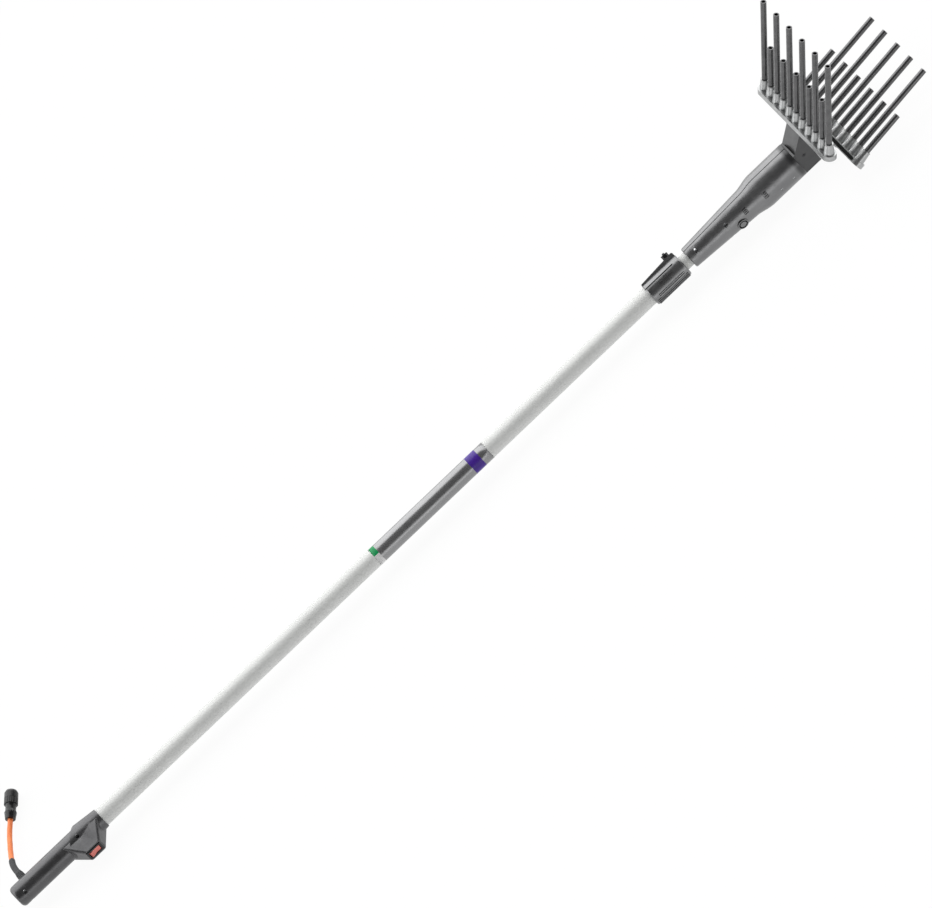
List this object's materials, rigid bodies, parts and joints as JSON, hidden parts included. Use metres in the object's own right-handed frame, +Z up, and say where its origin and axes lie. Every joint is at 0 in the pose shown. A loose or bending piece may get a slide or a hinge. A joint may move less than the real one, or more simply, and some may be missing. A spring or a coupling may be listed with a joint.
{
  "type": "electric olive harvester",
  "caption": "Electric olive harvester: telescopic pole with switch handle and supply lead, clamp, motor head and swinging combs of long and short rods",
  "frame": {"origin": "middle of the length, on the pole's middle plane, at the floor the head lies on", "axes": "X along the pole towards the combs, Z up, Y to the side where the supply lead comes out"},
  "size_m": [2.1487, 0.3383, 0.2688],
  "materials": {
    "tube_silver": "satin anodised tube",
    "shell_grey": "moulded dark grey, satin",
    "trim_black": "moulded black, satin",
    "bearing_plastic": "plain bearing plastic",
    "rubber_dark": "soft dark grey rubber",
    "rocker_red": "moulded red, semi gloss",
    "cable_orange": "orange cable jacket",
    "cast_silver": "die cast, fine blasted",
    "rod_black": "fibre filled rod, satin",
    "steel": "plain machined steel",
    "steel_dark": "blackened steel",
    "case_alloy": "machined alloy",
    "gear_brass": "cut brass",
    "board_green": "lacquered board"
  },
  "bodies": {
    "pole": {"pole_tube": "tube_silver", "handle_shell_right": "shell_grey", "handle_shell_left": "shell_grey", "handle_screws": "steel", "control_board": "board_green", "switch_body": "trim_black", "cable_gland": "rubber_dark", "cable_sleeve": "rubber_dark", "supply_cable": "cable_orange", "plug_nut": "trim_black", "plug_body": "trim_black", "plug_insert": "bearing_plastic", "plug_contacts": "gear_brass", "clamp_collar": "shell_grey", "clamp_hinge_pin": "steel", "clamp_stud": "steel", "clamp_nut": "trim_black", "pole_bush": "bearing_plastic", "collar_wiper": "rubber_dark"},
    "rocker": {"switch_rocker": "rocker_red"},
    "lever": {"clamp_lever": "trim_black"},
    "coupling_ring": {"plug_ring": "trim_black"},
    "head": {"sliding_tube": "tube_silver", "tube_slider": "bearing_plastic", "head_shell_right": "shell_grey", "head_shell_left": "shell_grey", "head_screws": "steel", "case_screws": "steel_dark", "pivot_screws": "steel_dark", "motor_can": "steel", "motor_cap": "trim_black", "ring_gear": "steel_dark", "gear_cover": "case_alloy", "crank_bearings": "steel", "front_shaft": "steel", "back_shaft": "steel"},
    "rotor": {"motor_shaft": "steel", "motor_rotor": "steel_dark", "sun_gear": "gear_brass"},
    "crank": {"planet_carrier": "steel", "crank_disc": "steel_dark", "crank_roller": "steel"},
    "planet_1": {"planet_gear_1": "gear_brass"},
    "planet_2": {"planet_gear_2": "gear_brass"},
    "planet_3": {"planet_gear_3": "gear_brass"},
    "comb_front": {"front_arm": "cast_silver", "front_gear": "gear_brass", "front_bushes": "gear_brass", "front_plate": "cast_silver", "front_long_rods": "rod_black", "front_short_rods": "rod_black", "front_bolts": "steel_dark"},
    "comb_back": {"back_arm": "cast_silver", "back_gear": "gear_brass", "back_bushes": "gear_brass", "back_plate": "cast_silver", "back_long_rods": "rod_black", "back_short_rods": "rod_black", "back_bolts": "steel_dark"}
  },
  "joints": [
    {"name": "rocker_tilt", "type": "hinge", "parent": "pole", "child": "rocker", "pos_m": [-0.91585, -0.04, 0.0335], "axis": [0, 0, 1], "range_deg": [-16, 0]},
    {"name": "clamp_open", "type": "hinge", "parent": "pole", "child": "lever", "pos_m": [0.49665, -0.0253, 0.04272], "axis": [1, 0, 0], "range_deg": [0, 100]},
    {"name": "plug_ring_turn", "type": "hinge", "parent": "pole", "child": "coupling_ring", "pos_m": [-0.96355, 0.2004, 0.0125], "axis": [0.6, 0.8, 0], "range_deg": [0, 60]},
    {"name": "pole_slide", "type": "slide", "parent": "pole", "child": "head", "axis": [1, 0, 0], "range_m": [0, 0.9]},
    {"name": "crank_spin", "type": "hinge", "parent": "head", "child": "crank", "pos_m": [0.75065, 0, 0.0345], "axis": [1, 0, 0], "continuous": true},
    {"name": "motor_spin", "type": "hinge", "parent": "head", "child": "rotor", "pos_m": [0.71265, 0, 0.0345], "axis": [1, 0, 0], "continuous": true},
    {"name": "comb_front_swing", "type": "hinge", "parent": "head", "child": "comb_front", "pos_m": [0.82065, 0, 0.0465], "axis": [0, 1, 0], "range_deg": [0, 20]},
    {"name": "comb_back_swing", "type": "hinge", "parent": "head", "child": "comb_back", "pos_m": [0.82065, 0, 0.0225], "axis": [0, 1, 0], "range_deg": [-20, 0]},
    {"name": "planet_1_spin", "type": "hinge", "parent": "crank", "child": "planet_1", "pos_m": [0.72265, 0, 0.0195], "axis": [1, 0, 0], "continuous": true},
    {"name": "planet_2_spin", "type": "hinge", "parent": "crank", "child": "planet_2", "pos_m": [0.72265, 0.01299, 0.042], "axis": [1, 0, 0], "continuous": true},
    {"name": "planet_3_spin", "type": "hinge", "parent": "crank", "child": "planet_3", "pos_m": [0.72265, -0.01299, 0.042], "axis": [1, 0, 0], "continuous": true}
  ],
  "couplings": [
    {"joint": "motor_spin", "follows": "crank_spin", "ratio": 5},
    {"joint": "comb_back_swing", "follows": "comb_front_swing", "ratio": -1},
    {"joint": "planet_1_spin", "follows": "crank_spin", "ratio": -2.6667},
    {"joint": "planet_2_spin", "follows": "crank_spin", "ratio": -2.6667},
    {"joint": "planet_3_spin", "follows": "crank_spin", "ratio": -2.6667}
  ]
}
